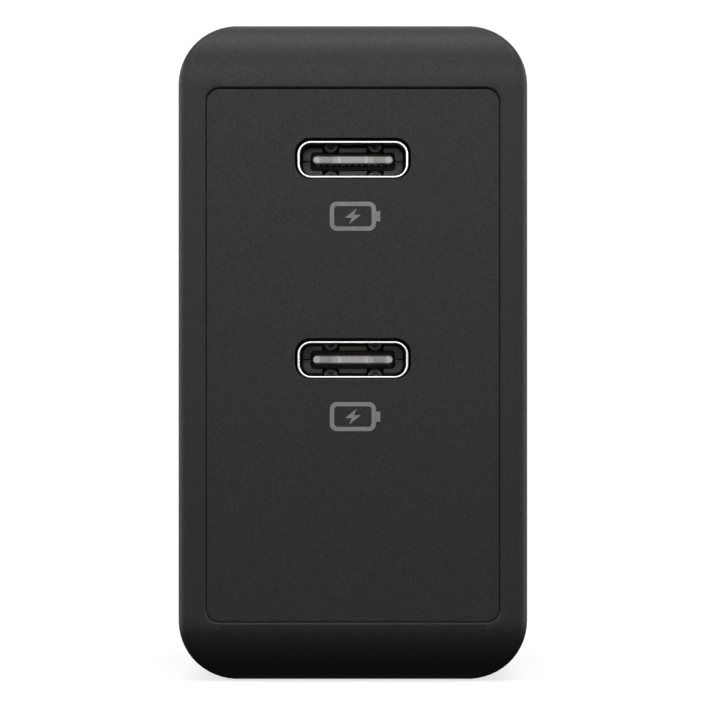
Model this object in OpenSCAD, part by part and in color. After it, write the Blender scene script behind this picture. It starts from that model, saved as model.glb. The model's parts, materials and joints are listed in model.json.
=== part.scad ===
// Two-port USB-C wall charger with a folding two-blade plug.
// The ports face -Y, the plug is in the rear face at +Y, and the charger stands on z = 0.

/* [Body] */
// Width across the front
body_w = 27.35; // [27:0.05:28.3]
// Height of the front
body_h = 51.7; // [51.7:0.1:54]
// Depth from the front panel to the face that meets the wall
body_d = 46; // [46:0.5:50]
// Corner radius seen from the front
corner_r = 4.85; // [4:0.05:4.9]
// Radius of the long front edges, seen from the side
brow_r = 4.75; // [3.5:0.05:5.5]
// Radius of the rear edges, seen from the side
rear_r = 2.6; // [1:0.1:2.8]
// Thickness of the side walls
side_wall = 1.5; // [1.2:0.1:1.6]
// Thickness of the top and bottom walls
end_wall = 1.8; // [1.4:0.1:2.2]
// Thickness of the front wall and of the panel in it
front_wall = 1.6; // [1.2:0.1:2]
// Depth of the rear cover at the seam
cover_d = 3; // [3:0.1:4]

/* [Front panel] */
// Width of the panel
panel_w = 22.9; // [21:0.1:23]
// Height of the panel
panel_h = 41.7; // [40:0.1:42]
// Corner radius of the panel
panel_r = 1.05; // [0.5:0.05:2]
// Gap between the panel and the housing
panel_gap = 0.05; // [0.05:0.01:0.3]
// Distance that the panel lies behind the housing's front
panel_recess = 0.15; // [0:0.01:0.18]

/* [Ports] */
// Height of the upper port above the middle of the body
upper_port_rise = 15.12; // [12.3:0.01:17]
// Height of the lower port above the middle of the body
lower_port_rise = -0.57; // [-4:0.01:2.4]
// Width of a port's opening
port_w = 8.34; // [8.34:0.01:8.6]
// Height of a port's opening
port_h = 2.56; // [2.56:0.01:2.7]
// Sheet thickness of a port's shell
port_sheet = 0.17; // [0.15:0.01:0.25]
// Height of the symbol under each port
symbol_h = 2.28; // [2.1:0.01:3]
// Width of the symbol under each port
symbol_w = 3.95; // [3:0.01:6]

/* [Plug] */
// Distance between the two blades
blade_pitch = 12.7; // [12.7:0.1:12.8]
// Width of a blade
blade_w = 6.35; // [6.2:0.01:6.4]
// Thickness of a blade
blade_t = 1.5; // [1.4:0.01:1.6]
// Length of a blade beyond the wall face
blade_reach = 16.6; // [15.9:0.1:18]
// Height of the folding axis
pivot_z = 36.6; // [35.5:0.1:37.2]
// Distance from the folding axis to the wall face
pivot_depth = 3.9; // [3.9:0.05:4.2]
// Radius of the blade carrier
carrier_r = 3.6; // [3.4:0.05:3.7]

/* [Hidden] */
$fn = 48;

// Housing
mid_z = body_h / 2;
front_y = -body_d / 2;
rear_y = body_d / 2;
seam_y = rear_y - cover_d;
seam_gap = 0.1;
inner_w = body_w - 2 * side_wall;
inner_h = body_h - 2 * end_wall;
inner_corner_r = corner_r - side_wall;
inner_brow_r = 1.8;
far = 2;

// Front panel
panel_z = mid_z - 0.22;
flange_w = inner_w - 0.3;
flange_h = panel_h + 2.2;
flange_r = 1.5;
flange_d = 1;
flange_rear_y = front_y + front_wall + flange_d;

// USB-C ports
port_zs = [mid_z + upper_port_rise, mid_z + lower_port_rise];
port_r = 0.9;
window_side_gap = 0.2;
window_end_gap = 0.13;
window_w = port_w + 2 * (port_sheet + window_side_gap);
window_h = port_h + 2 * (port_sheet + window_end_gap);
window_r = port_r + port_sheet + window_end_gap;
window_rise = 0.08;
port_lip_y = front_y + 0.22;
port_depth = 6;
board_y = front_y + 9.1;
port_board_t = 1.2;
port_floor_y = port_lip_y + port_depth;
tongue_w = 6.1;
tongue_t = 0.7;
tongue_root_w = tongue_w + 0.4;
tongue_root_t = 1.3;
tongue_tip_y = port_lip_y + 1.2;
tip_w = tongue_w + 0.16;
tip_t = 0.56;
tip_r = 0.26;
tip_d = 0.5;
tip_mark_x = 1.62;
tip_mark = 0.06;
mid_plate_w = 6.4;
mid_plate_t = 0.16;
mid_plate_rear_y = port_floor_y + 0.8;
contact_pitch = 0.5;
contact_w = 0.25;
contact_t = 0.06;
contacts_per_row = 12;
collar_front_y = port_lip_y + 4.7;
spring_x = 1.76;
spring_w = 1.15;
spring_eye_r = 0.25;
symbol_drop = 4.45;
symbol_t = 0.04;

// Plug
pivot_y = rear_y - pivot_depth;
carrier_half = 8.7;
bay_half = carrier_half + 0.2;
bay_top = pivot_z + carrier_r + 0.3;
bay_bottom = pivot_z - sqrt(pow(carrier_r, 2) + pow(pivot_depth, 2)) - 0.3;
bay_floor_y = pivot_y - carrier_r - 0.6;
well_wall = 1.2;
axle_r = 1.6;
axle_bore_r = axle_r + 0.08;
axle_end = bay_half + well_wall;
stub_r = 1;
stub_end = axle_end + 0.4;
blade_tip = pivot_depth + blade_reach;
blade_root = 1.5;
blade_hole_r = 1.55;
blade_hole_reach = 11.9;
slot_w = 2.4;
slot_floor_y = pivot_y - blade_w / 2 - 0.75;
slot_bottom = pivot_z - blade_tip - 1;
slot_wall = 1.1;
slot_edge = blade_pitch / 2 + slot_w / 2;
land_half = slot_edge - slot_w;
land_wall = 1.2;
scoop_half = 7.9;
scoop_bottom = slot_bottom - 4.4;
scoop_top = slot_bottom + 2.2;
scoop_floor_y = rear_y - 5;
cam_flat = carrier_r - 0.3;
cam_half = 2;
plate_y = rear_y - 2;
ear_y = pivot_y - well_wall;
screw_sites = [[-6, bay_top + 3.6], [6, bay_top + 3.6], [0, bay_bottom - 3.8]];
boss_r = 2;
screw_r = 0.75;
screw_head_r = 1.5;

// Contact springs beside the carrier
spring_face_x = stub_end + 0.02;
spring_sheet = 0.35;
spring_top = pivot_z + 7.4;
wire_r = 0.5;
tab_x = spring_face_x - wire_r;
tab_z = pivot_z + 6.5;
tab_y = pivot_y - 3.6;

// Main board, which stands on its long edge along the left wall
board_x = -9.9;
board_t = 1.6;
board_front_y = board_y + port_board_t + 0.3;
board_rear_y = bay_floor_y - well_wall - 0.8;
board_bottom = 3.5;
board_top = body_h - board_bottom;
header_zs = [for (i = [0 : 4]) 37.5 + 2 * i];

// Places of the larger components, as [y, z] on the main board
bulk_sites = [[7.6, 31.3], [7.6, 21.1], [-2.8, 31.3]];
output_sites = [[4.4, 13.3], [4.4, 6.9]];
transformer_y = -5.4;
transformer_z = 15.3;
transformer_top = 9.2;
core_base = board_x + 1.6;
yoke = 3;
choke_x = -3.4;
choke_y = -7.2;
choke_z = 42.3;

// Heat plate on the right wall
plate_x = inner_w / 2 - 0.5;

// ---------- shared shapes ----------

// Rounded rectangle with true arcs
module rounded_rectangle(width, height, radius) {
    square([width - 2 * radius, height], center = true);
    square([width, height - 2 * radius], center = true);
    for (x = [-1, 1], y = [-1, 1])
        translate([x * (width / 2 - radius), y * (height / 2 - radius)])
            circle(radius);
}

// Rounded bar along Y from y0 to y1
module bar(width, height, radius, y0, y1, z = mid_z, x = 0) {
    translate([x, y1, z])
        rotate([90, 0, 0])
            linear_extrude(y1 - y0)
                rounded_rectangle(width, height, radius);
}

// Box between two opposite corners
module block(low, high) {
    translate(low)
        cube(high - low);
}

// Side view of the body, inset all round, with its own radii in front and behind
module side_view(y0, y1, z0, z1, front_radius, rear_radius) {
    translate([y0 + front_radius, z0])
        square([y1 - y0 - front_radius - rear_radius, z1 - z0]);
    translate([y0, z0 + front_radius])
        square([front_radius, z1 - z0 - 2 * front_radius]);
    translate([y1 - rear_radius, z0 + rear_radius])
        square([rear_radius, z1 - z0 - 2 * rear_radius]);
    for (z = [z0 + front_radius, z1 - front_radius])
        translate([y0 + front_radius, z])
            circle(front_radius);
    for (z = [z0 + rear_radius, z1 - rear_radius])
        translate([y1 - rear_radius, z])
            circle(rear_radius);
}

// Outline in Y and Z, extruded along X
module across_x(x0, x1) {
    translate([x0, 0, 0])
        rotate([90, 0, 90])
            linear_extrude(x1 - x0)
                children();
}

// Cylinder along X
module rod_x(radius, x0, x1, y, z) {
    translate([x0, y, z])
        rotate([0, 90, 0])
            cylinder(h = x1 - x0, r = radius);
}

// Cylinder along Y
module rod_y(radius, y0, y1, x, z) {
    translate([x, y1, z])
        rotate([90, 0, 0])
            cylinder(h = y1 - y0, r = radius);
}

// Point of a smooth curve through a route, at a distance counted in route points
function along(route, t) =
    let (last = len(route) - 1, i = min(floor(t), last - 1), f = t - i,
        before = route[max(i - 1, 0)], a = route[i], b = route[i + 1], after = route[min(i + 2, last)])
    a + 0.5 * f * (b - before + f * (2 * before - 5 * a + 4 * b - after
        + f * (3 * (a - b) + after - before)));

// Insulated wire that follows a route
module wire(route, radius) {
    sides = 8;
    steps = 4 * (len(route) - 1);
    spine = [for (i = [0 : steps]) along(route, i / 4)];
    rings = [for (i = [0 : steps])
        let (ahead = spine[min(i + 1, steps)] - spine[max(i - 1, 0)],
            across = cross(ahead, [0.1, 0.2, 1]), up = cross(ahead, across))
        for (k = [0 : sides - 1])
            spine[i] + radius * (cos(360 * k / sides) * across / norm(across)
                + sin(360 * k / sides) * up / norm(up))];
    first_cap = [for (k = [0 : sides - 1]) k];
    last_cap = [for (k = [sides - 1 : -1 : 0]) steps * sides + k];
    skin = [for (i = [0 : steps - 1], k = [0 : sides - 1], half = [0, 1])
        let (a = i * sides + k, b = i * sides + (k + 1) % sides)
        half == 0 ? [a, a + sides, b + sides] : [a, b + sides, b]];
    polyhedron(points = rings, faces = concat([first_cap, last_cap], skin));
}

// ---------- casing ----------

// Whole outer form of the charger
module body_form() {
    intersection() {
        bar(body_w, body_h, corner_r, front_y, rear_y);
        across_x(-body_w, body_w)
            side_view(front_y, rear_y, 0, body_h, brow_r, rear_r);
    }
}

// Space inside the walls, open towards the rear
module cavity() {
    intersection() {
        bar(inner_w, inner_h, inner_corner_r, front_y + front_wall, rear_y + far);
        across_x(-body_w, body_w)
            side_view(front_y + front_wall, rear_y + far, end_wall, body_h - end_wall,
                inner_brow_r, 0.5);
    }
}

// Snap ridges on the rear cover, and their recesses when grown by a clearance
module snap_ridges(clearance) {
    for (x = [-5, 5], side = [-1, 1])
        translate([x, seam_y - 1.6, mid_z + side * (inner_h / 2 - 0.1)])
            cube([4 + 2 * clearance, 0.8 + 2 * clearance, 0.9 + 2 * clearance], center = true);
}

// Ledges inside the housing that hold both circuit boards
module board_rails() {
    ledge_x = inner_w / 2 - 1.4;
    root_x = inner_w / 2 + 0.2;
    for (side = [-1, 1])
        translate([side * (ledge_x + root_x) / 2, board_y - 0.4, mid_z])
            cube([root_x - ledge_x, 0.7, 36], center = true);
    block([ledge_x, board_y + port_board_t + 0.05, 8], [root_x, board_y + port_board_t + 0.7, 44]);
    // grooves for the main board's bottom and top edges
    translate([0, 0, mid_z])
        for (end = [0, 1])
            mirror([0, 0, end])
                translate([0, 0, -mid_z]) {
                    block([board_x + 0.05, -11, end_wall - 0.3], [board_x + 0.8, 0.5, 4.6]);
                    block([-root_x + 0.1, -11, 2.4], [board_x - board_t - 0.05, 0.5, 4.6]);
                }
}

module housing_shell() {
    color([0.17, 0.17, 0.17])
        difference() {
            union() {
                difference() {
                    body_form();
                    cavity();
                }
                board_rails();
            }
            bar(panel_w + 2 * panel_gap, panel_h + 2 * panel_gap, panel_r + panel_gap,
                front_y - far, front_y + front_wall + far, panel_z);
            block([-body_w, seam_y - seam_gap / 2, -far], [body_w, rear_y + far, body_h + far]);
            snap_ridges(0.1);
        }
}

// Opening that one port's shell stands in
module port_window(z) {
    bar(window_w, window_h, window_r, front_y - far, flange_rear_y + far, z + window_rise);
}

module front_panel() {
    color([0.16, 0.16, 0.16])
        difference() {
            union() {
                bar(panel_w, panel_h, panel_r, front_y + panel_recess, flange_rear_y, panel_z);
                bar(flange_w, flange_h, flange_r, front_y + front_wall, flange_rear_y, panel_z);
            }
            for (z = port_zs)
                port_window(z);
        }
}

// Two slots that the folded blades lie in
module blade_slots() {
    for (side = [-1, 1])
        translate([side * blade_pitch / 2 - slot_w / 2, slot_floor_y, slot_bottom])
            cube([slot_w, rear_y + far - slot_floor_y, pivot_z - slot_bottom]);
}

// Room for the turning carrier
module carrier_bay() {
    block([-bay_half, bay_floor_y, bay_bottom], [bay_half, rear_y + far, bay_top]);
}

// Hollow at the blade tips for a fingertip
module finger_scoop() {
    bar(2 * scoop_half, scoop_top - scoop_bottom, 1.2, scoop_floor_y, rear_y + far,
        (scoop_top + scoop_bottom) / 2);
}

// Bore that the carrier's two axle ends turn in
module axle_bore() {
    for (side = [-1, 1])
        rod_x(axle_bore_r, side > 0 ? bay_half - 0.5 : -axle_end - 0.5,
            side > 0 ? axle_end + 0.5 : -bay_half + 0.5, pivot_y, pivot_z);
}

// Opening through the rear cover for the carrier, the blades, the land between them and the scoop
module plug_window() {
    carrier_bay();
    block([-slot_edge, plate_y - far, slot_bottom], [slot_edge, rear_y + far, pivot_z]);
    finger_scoop();
}

module rear_cover() {
    color([0.17, 0.17, 0.17])
        difference() {
            union() {
                difference() {
                    union() {
                        intersection() {
                            body_form();
                            block([-body_w, seam_y + seam_gap / 2, -far],
                                [body_w, rear_y + far, body_h + far]);
                        }
                        bar(inner_w - 0.2, inner_h - 0.2, inner_corner_r - 0.1,
                            seam_y - 2.5, seam_y + 0.5);
                        snap_ridges(0);
                    }
                    bar(inner_w - 2.2, inner_h - 2.2, inner_corner_r - 1.1, seam_y - 4, plate_y);
                }
                // outer half of the well around the carrier
                block([-axle_end, pivot_y, bay_bottom - well_wall],
                    [axle_end, plate_y + 0.1, bay_top + well_wall]);
                for (i = [0, 1])
                    rod_y(boss_r, pivot_y, plate_y + 0.1, screw_sites[i][0], screw_sites[i][1]);
                // slotted posts that grip the contact springs
                for (side = [-1, 1])
                    translate([side * (spring_face_x + 0.16), (pivot_y + plate_y) / 2 + 0.1, spring_top - 1])
                        cube([1.2, plate_y - pivot_y, 1.8], center = true);
            }
            for (side = [-1, 1])
                translate([side * (spring_face_x + spring_sheet / 2), pivot_y + 0.9, spring_top - 1])
                    cube([spring_sheet + 0.04, 2, 2], center = true);
            plug_window();
            axle_bore();
            for (i = [0, 1])
                rod_y(screw_r + 0.03, pivot_y - 1, pivot_y + 1.6, screw_sites[i][0], screw_sites[i][1]);
        }
}

// Tray behind the rear cover: a channel for each folded blade, the land between them
// that comes up level with the cover, and the bottom of the finger scoop
module blade_tray() {
    color([0.15, 0.15, 0.15])
        difference() {
            union() {
                block([-slot_edge - slot_wall, slot_floor_y - slot_wall, slot_bottom - slot_wall],
                    [slot_edge + slot_wall, plate_y, bay_bottom - well_wall]);
                block([-blade_pitch / 2, pivot_y, scoop_top - 1], [blade_pitch / 2, rear_y, bay_bottom]);
                bar(2 * (scoop_half + well_wall), scoop_top - scoop_bottom + 2 * well_wall, 2,
                    scoop_floor_y - well_wall, plate_y, (scoop_top + scoop_bottom) / 2);
            }
            blade_slots();
            finger_scoop();
            // hollow under the land, open towards the inside, around the screw boss
            difference() {
                block([-land_half + land_wall, slot_floor_y - 2 * slot_wall, scoop_top + 2 * land_wall],
                    [land_half - land_wall, rear_y - land_wall, bay_bottom - well_wall]);
                rod_y(boss_r, pivot_y, rear_y, screw_sites[2][0], screw_sites[2][1]);
            }
            rod_y(screw_r + 0.03, pivot_y - 1, pivot_y + 1.6, screw_sites[2][0], screw_sites[2][1]);
        }
}

// ---------- port symbols ----------

// Generic charging mark: a battery outline with a bolt in it, its case centred on the origin
module charging_mark() {
    line = 0.34;
    nub = 0.34;
    case_w = symbol_w - nub;
    difference() {
        rounded_rectangle(case_w, symbol_h, 0.55);
        rounded_rectangle(case_w - 2 * line, symbol_h - 2 * line, 0.25);
    }
    translate([case_w / 2, -0.4])
        square([nub, 0.8]);
    polygon([
        [0.30, 0.62], [-0.62, -0.12], [-0.08, -0.12],
        [-0.30, -0.62], [0.62, 0.12], [0.08, 0.12]
    ]);
}

module port_symbol(z) {
    color([0.44, 0.44, 0.44])
        translate([0, front_y + panel_recess, z - symbol_drop])
            rotate([90, 0, 0])
                linear_extrude(symbol_t)
                    charging_mark();
}

// ---------- USB-C port ----------

// Deep-drawn steel shell with two solder legs a side
module port_shell(z) {
    color([0.8, 0.8, 0.82]) {
        difference() {
            bar(port_w + 2 * port_sheet, port_h + 2 * port_sheet, port_r + port_sheet,
                port_lip_y, board_y, z);
            bar(port_w, port_h, port_r, port_lip_y - far, board_y + far, z);
        }
        for (x = [-1, 1])
            translate([x * (port_w / 2 + port_sheet / 2), board_y + port_board_t / 2 - 1, z])
                cube([port_sheet, port_board_t + 2, 1], center = true);
    }
}

// Moulded block that closes the shell, with a frame round the tongue's root
module port_insulator(z) {
    color([0.12, 0.12, 0.12])
        difference() {
            union() {
                bar(port_w - 0.04, port_h - 0.04, port_r - 0.02, port_floor_y, board_y, z);
                bar(port_w - 0.44, port_h - 0.42, port_r - 0.25, collar_front_y, port_floor_y, z);
            }
            // window round the tongue
            bar(mid_plate_w + 0.3, 1.46, 0.3, collar_front_y - 1, port_floor_y, z);
            // notches for the four shell springs
            for (x = [-1, 1], side = [-1, 1])
                translate([x * spring_x, (collar_front_y + port_floor_y) / 2, z + side * 1.3])
                    cube([spring_w + 0.2, port_floor_y - collar_front_y + 0.1, 1.2], center = true);
            // seam at half height
            translate([-port_w, collar_front_y - 1, z - 0.04])
                cube([2 * port_w, port_floor_y - collar_front_y + 1, 0.08]);
            // seats of the tongue's root and of the contact tails
            bar(tongue_root_w, tongue_root_t, 0.2, port_floor_y - 1, port_floor_y + 1.2, z);
        }
}

// Four round-tipped fingers in the port's depth that grip the plug's shell
module port_springs(z) {
    color([0.6, 0.6, 0.62])
        for (x = [-spring_x, spring_x], side = [-1, 1])
            difference() {
                intersection() {
                    rod_y(spring_w / 2, collar_front_y - 0.1, collar_front_y + 0.9, x, z + side * port_h / 2);
                    bar(port_w, port_h - 0.02, port_r, port_lip_y, port_floor_y, z);
                }
                rod_y(spring_eye_r, collar_front_y - 0.2, collar_front_y + 0.3, x, z + side * port_h / 2);
            }
}

// Moulded cap on the tongue's front edge, with the fine lines that its mould inserts leave
module port_tip(z) {
    color([0.7, 0.7, 0.7])
        difference() {
            bar(tip_w, tip_t, tip_r, tongue_tip_y, tongue_tip_y + tip_d, z);
            for (side = [-1, 1])
                translate([side * tip_mark_x, tongue_tip_y, z])
                    cube([tip_mark, 2 * tip_mark, 2 * tip_t], center = true);
        }
}

// Upper and lower plastic layers of the tongue behind its cap, with their thick root
module port_tongue(z) {
    color([0.15, 0.15, 0.15])
        difference() {
            union() {
                bar(tongue_w, tongue_t, 0.1, tongue_tip_y + tip_d, port_floor_y + 1.2, z);
                bar(tongue_root_w, tongue_root_t, 0.2, port_floor_y - 0.3, port_floor_y + 1.2, z);
            }
            block([-mid_plate_w, tongue_tip_y, z - mid_plate_t / 2],
                [mid_plate_w, mid_plate_rear_y, z + mid_plate_t / 2]);
            contact_rows(z, 0);
        }
}

// Steel plate in the middle of the tongue, with a latch notch in each edge
module port_mid_plate(z) {
    color([0.85, 0.85, 0.87])
        difference() {
            block([-mid_plate_w / 2, tongue_tip_y + tip_d, z - mid_plate_t / 2],
                [mid_plate_w / 2, mid_plate_rear_y, z + mid_plate_t / 2]);
            for (side = [-1, 1])
                translate([side * mid_plate_w / 2 - 0.2, tongue_tip_y + 1.4, z - 1])
                    cube([0.4, 1.1, 2]);
        }
}

// Two rows of twelve contacts let into the tongue's faces
module contact_rows(z, proud) {
    for (side = [-1, 1], i = [0 : contacts_per_row - 1]) {
        x = (i - (contacts_per_row - 1) / 2) * contact_pitch;
        // power and ground contacts reach nearer the tip than the rest
        long = i == 0 || i == 3 || i == 8 || i == 11;
        tip = tongue_tip_y + (long ? 0.75 : 1.1);
        middle = z + side * (tongue_t / 2 - contact_t / 2);
        block([x - contact_w / 2, tip, middle - contact_t / 2 - (side < 0 ? proud : 0)],
            [x + contact_w / 2, port_floor_y - 0.35, middle + contact_t / 2 + (side > 0 ? proud : 0)]);
    }
}

module port_contacts(z) {
    color([0.83, 0.68, 0.3])
        contact_rows(z, 0.01);
}

// ---------- port board ----------

module port_board() {
    color([0.1, 0.35, 0.2])
        difference() {
            block([-11.3, board_y, 4.9], [11.3, board_y + port_board_t, 46.9]);
            // slots for the ports' solder legs
            for (z = port_zs, x = [-1, 1])
                translate([x * (port_w / 2 + port_sheet / 2) - 0.3, board_y - 1, z - 0.7])
                    cube([0.6, port_board_t + 2, 1.4]);
            // holes for the header pins
            for (z = header_zs)
                translate([board_x, board_y - 1, z - 0.4])
                    cube([0.7, port_board_t + 2, 0.8]);
        }
}

// One power controller for each port, side by side
module port_controllers() {
    color([0.1, 0.1, 0.1])
        for (x = [-5, 5])
            translate([x - 2.5, board_y - 0.9, 14.5])
                cube([5, 0.9, 5]);
}

module buck_inductor(x) {
    color([0.28, 0.28, 0.3])
        intersection() {
            translate([x - 3.4, board_y - 3.8, 29.8])
                cube([6.8, 3.8, 6.8]);
            rod_y(4.4, board_y - 3.8, board_y, x, 33.2);
        }
}

module port_capacitor(x) {
    color([0.75, 0.75, 0.77]) {
        translate([x - 3.3, board_y - 0.8, 5.9])
            cube([6.6, 0.8, 6.6]);
        rod_y(3.15, board_y - 5.6, board_y - 0.8, x, 9.2);
    }
}

// Pins that carry power and signals from the main board to the port board
module board_header_pins() {
    color([0.83, 0.68, 0.3])
        for (z = header_zs)
            block([board_x, board_y - 0.6, z - 0.25], [board_x + 0.5, board_y + 3, z + 0.25]);
}

// ---------- main board ----------

module main_board() {
    color([0.1, 0.35, 0.2])
        block([board_x - board_t, board_front_y, board_bottom], [board_x, board_rear_y, board_top]);
}

// Ferrite core: two yokes, two outer legs and a round middle post
module transformer_core() {
    color([0.2, 0.2, 0.22]) {
        difference() {
            block([core_base, transformer_y - 4.8, transformer_z - 9.5],
                [transformer_top, transformer_y + 4.8, transformer_z + 9.5]);
            block([core_base + yoke, transformer_y - 9, transformer_z - 6.7],
                [transformer_top - yoke, transformer_y + 9, transformer_z + 6.7]);
        }
        rod_x(2.9, core_base + yoke - 0.1, transformer_top - yoke + 0.1, transformer_y, transformer_z);
    }
}

// Coil former with a flange at each end and two rows of pins in its base
module transformer_bobbin() {
    color([0.14, 0.14, 0.14]) {
        low = core_base + yoke + 0.1;
        high = transformer_top - yoke - 0.1;
        difference() {
            union() {
                rod_x(3.7, low, high, transformer_y, transformer_z);
                rod_x(6.4, low, low + 0.6, transformer_y, transformer_z);
                rod_x(6.4, high - 0.6, high, transformer_y, transformer_z);
            }
            rod_x(3, low - 1, high + 1, transformer_y, transformer_z);
        }
        // pin rails beside the lower yoke
        for (side = [-1, 1])
            translate([board_x, transformer_y + side * 5.55 - 0.65, transformer_z - 5])
                cube([low + 0.6 - board_x, 1.3, 10]);
    }
}

module transformer_winding() {
    color([0.85, 0.7, 0.15]) {
        low = core_base + yoke + 0.8;
        high = transformer_top - yoke - 0.8;
        difference() {
            rod_x(6.2, low, high, transformer_y, transformer_z);
            rod_x(3.75, low - 1, high + 1, transformer_y, transformer_z);
        }
    }
}

// Can with a crimped groove near its base
module capacitor_can(radius, height, y, z) {
    groove = 1.8;
    rod_x(radius, board_x, board_x + groove - 0.5, y, z);
    rod_x(radius - 0.35, board_x + groove - 0.6, board_x + groove + 0.6, y, z);
    rod_x(radius, board_x + groove + 0.5, board_x + height, y, z);
}

module bulk_capacitor(i) {
    color([0.12, 0.12, 0.16])
        capacitor_can(5, 19.5, bulk_sites[i][0], bulk_sites[i][1]);
}

module output_capacitor(i) {
    color([0.75, 0.75, 0.77])
        capacitor_can(3.1, 12, output_sites[i][0], output_sites[i][1]);
}

// Toroid on edge, turning about Y
module choke_ring(inner, outer, half_width, sweep, start) {
    translate([choke_x, choke_y, choke_z])
        rotate([90, 0, 0])
            rotate([0, 0, start])
                rotate_extrude(angle = sweep)
                    translate([inner, -half_width])
                        square([outer - inner, 2 * half_width]);
}

module choke_core() {
    color([0.25, 0.35, 0.25]) {
        choke_ring(2.7, 4.9, 2.3, 360, 0);
        block([board_x, choke_y - 3, choke_z - 4], [board_x + 0.8, choke_y + 3, choke_z + 4]);
    }
}

// Copper winding over one half of the toroid
module choke_winding(start) {
    color([0.7, 0.35, 0.15])
        difference() {
            choke_ring(2.1, 5.5, 2.9, 130, start);
            choke_ring(2.65, 4.95, 2.35, 360, 0);
        }
}

module line_filter_capacitor() {
    color([0.8, 0.75, 0.2])
        block([board_x, -0.5, 37.4], [board_x + 11, 12.3, 42.4]);
}

module safety_capacitor() {
    color([0.15, 0.35, 0.65]) {
        rod_y(3.4, 9.3, 11.7, board_x + 4.6, 8.4);
        for (z = [6.4, 10.4])
            rod_x(0.3, board_x, board_x + 3, 10.5, z);
    }
}

module inrush_thermistor() {
    color([0.12, 0.2, 0.14]) {
        rod_y(2.1, -11.3, -8.9, board_x + 3.2, 33.9);
        for (z = [32.9, 34.9])
            rod_x(0.3, board_x, board_x + 2, -10.1, z);
    }
}

// Fuse tube with a metal cap and a bent lead at each end
module fuse() {
    color([0.85, 0.85, 0.8]) {
        rod_y(1.7, 1.7, 11.2, board_x + 2, 45.6);
        rod_y(1.8, 1.5, 3.2, board_x + 2, 45.6);
        rod_y(1.8, 9.8, 11.4, board_x + 2, 45.6);
        rod_x(0.3, board_x, board_x + 2, 11.8, 45.6);
        rod_x(0.3, board_x, board_x + 2, 1.1, 45.6);
        rod_y(0.3, 0.8, 12.1, board_x + 2, 45.6);
    }
}

module bridge_rectifier() {
    color([0.1, 0.1, 0.1])
        block([board_x, -12, 26.4], [board_x + 1.4, -8, 31]);
}

module power_switch() {
    color([0.1, 0.1, 0.1])
        block([board_x, -3.8, 43.2], [board_x + 1.5, 0.4, 47.1]);
}

module feedback_optocoupler() {
    color([0.1, 0.1, 0.1])
        block([board_x, 8.2, 12.6], [board_x + 2.2, 12.4, 15.8]);
}

// ---------- heat path and insulation ----------

module heat_spreader() {
    color([0.78, 0.78, 0.8])
        block([plate_x, -11.5, 6], [inner_w / 2, 12, 46]);
}

module thermal_pad() {
    color([0.6, 0.62, 0.68])
        block([transformer_top, transformer_y - 4.6, transformer_z - 8],
            [plate_x, transformer_y + 4.6, transformer_z + 8]);
}

module insulating_sheet() {
    color([0.85, 0.85, 0.75])
        block([-inner_w / 2, board_front_y, 5.2], [-inner_w / 2 + 0.25, board_rear_y, 46.5]);
}

// ---------- folding plug ----------

// Turning block that holds both blades, drawn folded: its wall face points down
module plug_carrier() {
    color([0.14, 0.14, 0.14])
        difference() {
            union() {
                rod_x(carrier_r, -carrier_half, carrier_half, pivot_y, pivot_z);
                block([-carrier_half, pivot_y - carrier_r, pivot_z - pivot_depth],
                    [carrier_half, pivot_y + carrier_r, pivot_z]);
                rod_x(axle_r, -axle_end, axle_end, pivot_y, pivot_z);
            }
            // flats that the detent spring rests on, folded and open
            block([-cam_half, pivot_y - carrier_r - 1, pivot_z - pivot_depth - 1],
                [cam_half, pivot_y - cam_flat, pivot_z + carrier_r]);
            block([-cam_half, pivot_y - carrier_r, pivot_z + cam_flat],
                [cam_half, pivot_y + carrier_r, pivot_z + carrier_r + 1]);
            for (side = [-1, 1])
                blade_solid(side);
        }
}

// One blade with its root and its contact stub, drawn folded
module blade_solid(side) {
    x = side * blade_pitch / 2;
    translate([x - blade_t / 2, pivot_y - blade_w / 2, pivot_z - blade_tip + 1.5])
        cube([blade_t, blade_w, blade_tip - 1.5 + blade_root]);
    translate([x - blade_t / 2, pivot_y - blade_w / 2 + 1.5, pivot_z - blade_tip])
        cube([blade_t, blade_w - 3, 3]);
    for (edge = [-1, 1])
        rod_x(1.5, x - blade_t / 2, x + blade_t / 2,
            pivot_y + edge * (blade_w / 2 - 1.5), pivot_z - blade_tip + 1.5);
    rod_x(stub_r, side > 0 ? x : -stub_end, side > 0 ? stub_end : x, pivot_y, pivot_z);
}

module blade(side) {
    color([0.8, 0.78, 0.7])
        difference() {
            blade_solid(side);
            rod_x(blade_hole_r, side * blade_pitch / 2 - 1, side * blade_pitch / 2 + 1,
                pivot_y, pivot_z - pivot_depth - blade_hole_reach);
        }
}

// Inner half of the carrier's bearings, screwed to the rear cover
module plug_retainer() {
    color([0.75, 0.75, 0.72])
        difference() {
            union() {
                block([-axle_end, bay_floor_y - well_wall, bay_bottom - well_wall],
                    [axle_end, pivot_y, bay_top + well_wall]);
                block([-8.5, ear_y, bay_top + 0.5], [8.5, pivot_y, bay_top + 6]);
                block([-2.4, ear_y, bay_bottom - 6.2], [2.4, pivot_y, bay_bottom]);
            }
            carrier_bay();
            blade_slots();
            axle_bore();
            for (site = screw_sites)
                rod_y(screw_r + 0.2, ear_y - 1, pivot_y + 1, site[0], site[1]);
        }
}

module retainer_screws() {
    color([0.7, 0.7, 0.72])
        for (site = screw_sites)
            difference() {
                union() {
                    rod_y(screw_head_r, ear_y - 1, ear_y, site[0], site[1]);
                    rod_y(screw_r, ear_y - 0.1, pivot_y + 1.5, site[0], site[1]);
                }
                // cross recess
                translate([site[0] - 0.2, ear_y - 1.5, site[1] - 0.9])
                    cube([0.4, 1, 1.8]);
                translate([site[0] - 0.9, ear_y - 1.5, site[1] - 0.2])
                    cube([1.8, 1, 0.4]);
            }
}

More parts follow.
